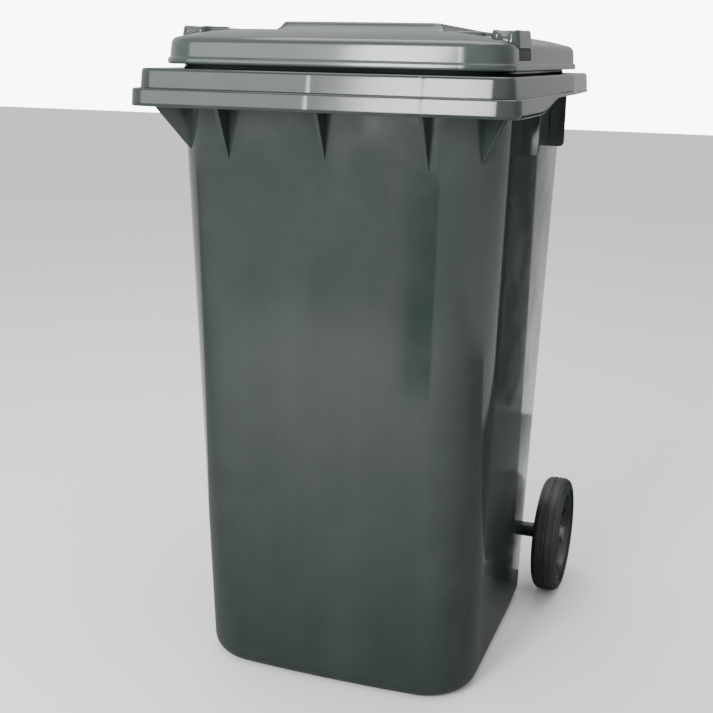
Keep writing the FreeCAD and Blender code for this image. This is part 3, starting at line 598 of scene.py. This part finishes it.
# tyre rows are (out from the middle, up from the hub's edge), and disc rows are (along X, radius)
wheel = {
    "x": 280, "round": 110, "half": 24, "hubRound": 88, "spokes": 8, "spokeTurn": 0.2, "spokeHalf": 2.2,
    "bore": 13.06, "steps": 120,
    "shoulder": ((-1, 0), (0, 1), (0, 4), (0, 8), (-0.6, 11), (-2.5, 15), (-5.5, 18.2), (-9, 20.2),
                 (-10, 20.4), (-10.8, 20.0), (-11.8, 20.9)),
    "groove": ((5, -0.6), (2.6, -0.2), (1.6, -1.6), (0, -2), (-1.6, -1.6), (-2.6, -0.2), (-5, -0.6)),
    "disc": ((12, 22.5), (11.4, 23.6), (10, 24), (5.5, 25), (4, 27), (3.5, 31), (3.5, 50), (4.2, 52),
             (5.4, 53), (5.4, 57), (4.2, 58), (3.5, 60), (3.5, 73), (4.4, 76), (7, 77.6), (18, 78.4),
             (19.6, 79), (20, 80), (20, 88), (-20, 88), (-20, 80), (-19.6, 79), (-18, 78.4), (-7, 77.6),
             (-4.4, 76), (-3.5, 73), (-3.5, 31), (-4, 27), (-5.5, 25), (-20, 24), (-21, 23)),
    "rib": ((23, 0), (79, 0), (79, 12), (60, 8), (30, 7), (23, 9)),
}


def turned(name, profile, side, material, body, replaced):
    # a profile (x, radius) turned once round the axle's line, closed on itself
    profile = np.array(profile, float)
    turn = np.linspace(0, 2 * math.pi, wheel["steps"], endpoint=False)
    x = side * (wheel["x"] + profile[:, :1]) + 0 * turn
    radius = profile[:, 1:] + 0 * turn
    rings = np.stack([x, axle["y"] + radius * np.cos(turn), axle["z"] + radius * np.sin(turn)], -1)
    points, faces = closedRings(np.concatenate([rings, rings[:1]]), poles=False)
    last = len(profile) * len(turn)
    faces = [[i - last if i >= last else i for i in f] for f in faces]
    if side > 0:
        faces = [f[::-1] for f in faces]
    return makePiece(name, points[:last], faces, material, body, replaced, 35)


def buildWheel(side, word):
    body, hub = f"wheel_{word}", wheel["hubRound"]
    outer = [(wheel["half"] + a, hub + b) for a, b in wheel["shoulder"]]
    inner = [(-a, b) for a, b in outer[::-1]]
    groove = [(a, wheel["round"] + b) for a, b in wheel["groove"]]
    tyre = inner[-1:] + outer + groove + inner[:-1]
    turned(f"tyre_{word}", tyre, side, tyreRubber, body, [f"wheel_tyre_{word}"])
    disc = [(-21, wheel["bore"]), (12, wheel["bore"]), *wheel["disc"]]
    turned(f"hub_{word}", disc, side, hubPlastic, body, [f"wheel_hub_{word}"])
    # radial ribs on both faces of the hub's disc
    parts = []
    for n in range(wheel["spokes"]):
        angle = 2 * math.pi * n / wheel["spokes"] + wheel["spokeTurn"]
        c, s = math.cos(angle), math.sin(angle)

        def put(a, b, w, c=c, s=s):
            return side * (wheel["x"] + b), axle["y"] + a * c - w * s, axle["z"] + a * s + w * c

        for face in (-1, 1):
            outline = np.array([(a, face * b) for a, b in wheel["rib"]], float)
            parts.append((outline, put, -wheel["spokeHalf"], wheel["spokeHalf"]))
    slabs(f"hub_ribs_{word}", parts, hubPlastic, body, [f"wheel_hub_{word}"], 0.7)


buildWheel(-1, "left")
buildWheel(1, "right")
print("wheels built")

# CAD nodes that keep their shape take a finish
kept = {"axle": zincSteel}
for word in ("left", "right"):
    kept.update({f"hinge_pin_{word}": pinPlastic, f"lid_buffer_{word}": bufferRubber,
                 f"wheel_bush_{word}": bushPlastic, f"axle_spacer_{word}": spacerPlastic,
                 f"wheel_washer_{word}": zincSteel, f"axle_cap_{word}": capSteel})
for name, material in kept.items():
    for place in nodes[name].material_slots:
        place.material = material

# studio also gives where the ground card's painted shade near the bin begins, and how far it darkens the card
studio = {"floorSize": 30, "floorTone": 0.86, "backdrop": 9.0, "surround": 1.5, "shade": 0.75,
          "shadeWay": (0.5, 0.87, 0), "shadeFull": 0.75, "paintedShadeStart": -0.36, "fadeTone": 0.22,
          "camera": (0.5989, -1.8518, 1.0094), "turn": 19.335, "tilt": 14.867, "roll": 1.185,
          "lens": 57.82, "sensor": 36}


def stagePiece(name, corners, tone):
    # a flat sheet of the studio, with its finish
    mesh = bpy.data.meshes.new(name)
    mesh.from_pydata(corners, [], [tuple(range(len(corners)))])
    sheet = bpy.data.objects.new(name, mesh)
    bpy.context.scene.collection.objects.link(sheet)
    f = Finish(name)
    f.set(roughness=0.9)
    f.shader.inputs["Base Color"].default_value = (*tone, 1)
    mesh.materials.append(f.material)
    return sheet, f


def buildRoom():
    # the room: pale, with a darker quarter behind on the right, and plain white to the camera
    world = bpy.data.worlds.new("studioRoom")
    bpy.context.scene.world = world
    world.use_nodes = True
    tree = world.node_tree
    tree.nodes.clear()
    new = lambda kind: tree.nodes.new("ShaderNode" + kind)
    way, split, ramp = new("TexCoord"), new("VectorMath"), new("MapRange")
    path, seen, lit = new("LightPath"), new("Background"), new("Background")
    mix, out = new("MixShader"), new("OutputWorld")
    seen.inputs[0].default_value = (1, 1, 1, 1)
    seen.inputs[1].default_value = studio["backdrop"]
    split.operation = "DOT_PRODUCT"
    split.inputs[1].default_value = studio["shadeWay"]
    limits = {"From Min": 0.0, "From Max": studio["shadeFull"],
              "To Min": studio["surround"], "To Max": studio["shade"]}
    for key, value in limits.items():
        ramp.inputs[key].default_value = value
    wires = ((way, "Generated", split, 0), (split, "Value", ramp, "Value"), (ramp, "Result", lit, 1),
             (path, "Is Camera Ray", mix, 0), (lit, 0, mix, 1), (seen, 0, mix, 2), (mix, 0, out, 0))
    for giver, output, taker, socket in wires:
        tree.links.new(giver.outputs[output], taker.inputs[socket])


def addSoftbox(name, centre, target, width, height, glow):
    # an area light whose face shines at a given brightness
    light = bpy.data.lights.new(name, "AREA")
    light.shape, light.size, light.size_y = "RECTANGLE", width, height
    light.energy = glow * math.pi * width * height
    lamp = bpy.data.objects.new(name, light)
    bpy.context.scene.collection.objects.link(lamp)
    lamp.location = centre
    lamp.rotation_euler = (Vector(target) - Vector(centre)).to_track_quat("-Z", "Y").to_euler()
    return lamp


def addCard(name, corners, tone, fade=0.0):
    # a card that shows only in glossy reflections; with fade, its colour carries a painted shade of the floor
    # round the bin: darkest from the bin's front edge inwards, lightening over the fade distance towards -Y
    card, f = stagePiece(name, corners, tone)
    card.visible_camera = card.visible_diffuse = card.visible_shadow = False
    if fade:
        apart = f.add("SeparateXYZ", inputs=[f.add("TexCoord", output="Object")], output="Y")
        start = studio["paintedShadeStart"]
        # painted shade: the card is darker near the bin, standing in for the shaded floor there
        outsidePaintedShade = f.add("MapRange", inputs={"Value": apart, "From Min": start, "From Max": start - fade})
        f.set(baseColor=f.mixed(outsidePaintedShade ** 0.7, tuple(c * studio["fadeTone"] for c in tone), tone))


def upright(x1, x2, y, z1, z2):
    return [(x1, y, z1), (x2, y, z1), (x2, y, z2), (x1, y, z2)]


def level(x1, x2, y1, y2, z):
    return [(x1, y1, z), (x2, y1, z), (x2, y2, z), (x1, y2, z)]


def buildCamera():
    turn, tilt, roll = (math.radians(studio[k]) for k in ("turn", "tilt", "roll"))
    ahead = Vector((-math.sin(turn) * math.cos(tilt), math.cos(turn) * math.cos(tilt), -math.sin(tilt)))
    across = Vector((math.cos(turn), math.sin(turn), 0))
    up = across.cross(ahead)
    right = across * math.cos(roll) + up * math.sin(roll)
    top = up * math.cos(roll) - across * math.sin(roll)
    lens = bpy.data.cameras.new("studioCamera")
    lens.lens, lens.sensor_width = studio["lens"], studio["sensor"]
    camera = bpy.data.objects.new("studioCamera", lens)
    bpy.context.scene.collection.objects.link(camera)
    facing = Matrix((right, top, -ahead)).transposed().to_4x4()
    camera.matrix_world = Matrix.Translation(studio["camera"]) @ facing
    bpy.context.scene.camera = camera


reach = studio["floorSize"] / 2
stagePiece("studioFloor", level(-reach, reach, -reach, reach, 0), [studio["floorTone"]] * 3)
buildRoom()
addSoftbox("keyBox", (-0.34, -2.40, 1.47), (-0.34, 0, 1.47), 0.56, 1.40, 30.0)
addSoftbox("wideBox", (-1.30, -2.40, 1.47), (-1.30, 0, 1.47), 1.34, 1.40, 4.2)
addSoftbox("topBox", (0, 0.6, 3.2), (0, 0, 0), 2.6, 2.6, 3.0)
addCard("sideCard", upright(0.425, 1.3, 1.3, 0.004, 0.86), (0.012, 0.018, 0.016))
addCard("sideGround", [(0.30, 0.28, 0.003), (1.3, 0.28, 0.003), (1.3, 1.3, 0.003), (0.36, 1.3, 0.003)],
        (0.05, 0.06, 0.06))
addCard("frontCard", upright(-0.17, 0.10, -1.6, 0.01, 0.74), (0.10, 0.16, 0.15))
addCard("warmCard", upright(-0.215, -0.175, -1.6, 0.16, 0.74), (0.9, 0.78, 0.42))
# the ground card holds a painted shade, darker near the bin and seen only in reflections
addCard("groundCardPaintedShade", level(-6, 2, -6, 0.27, 0.004), (0.8, 0.8, 0.8), 2.4)
buildCamera()

print("studio ready")
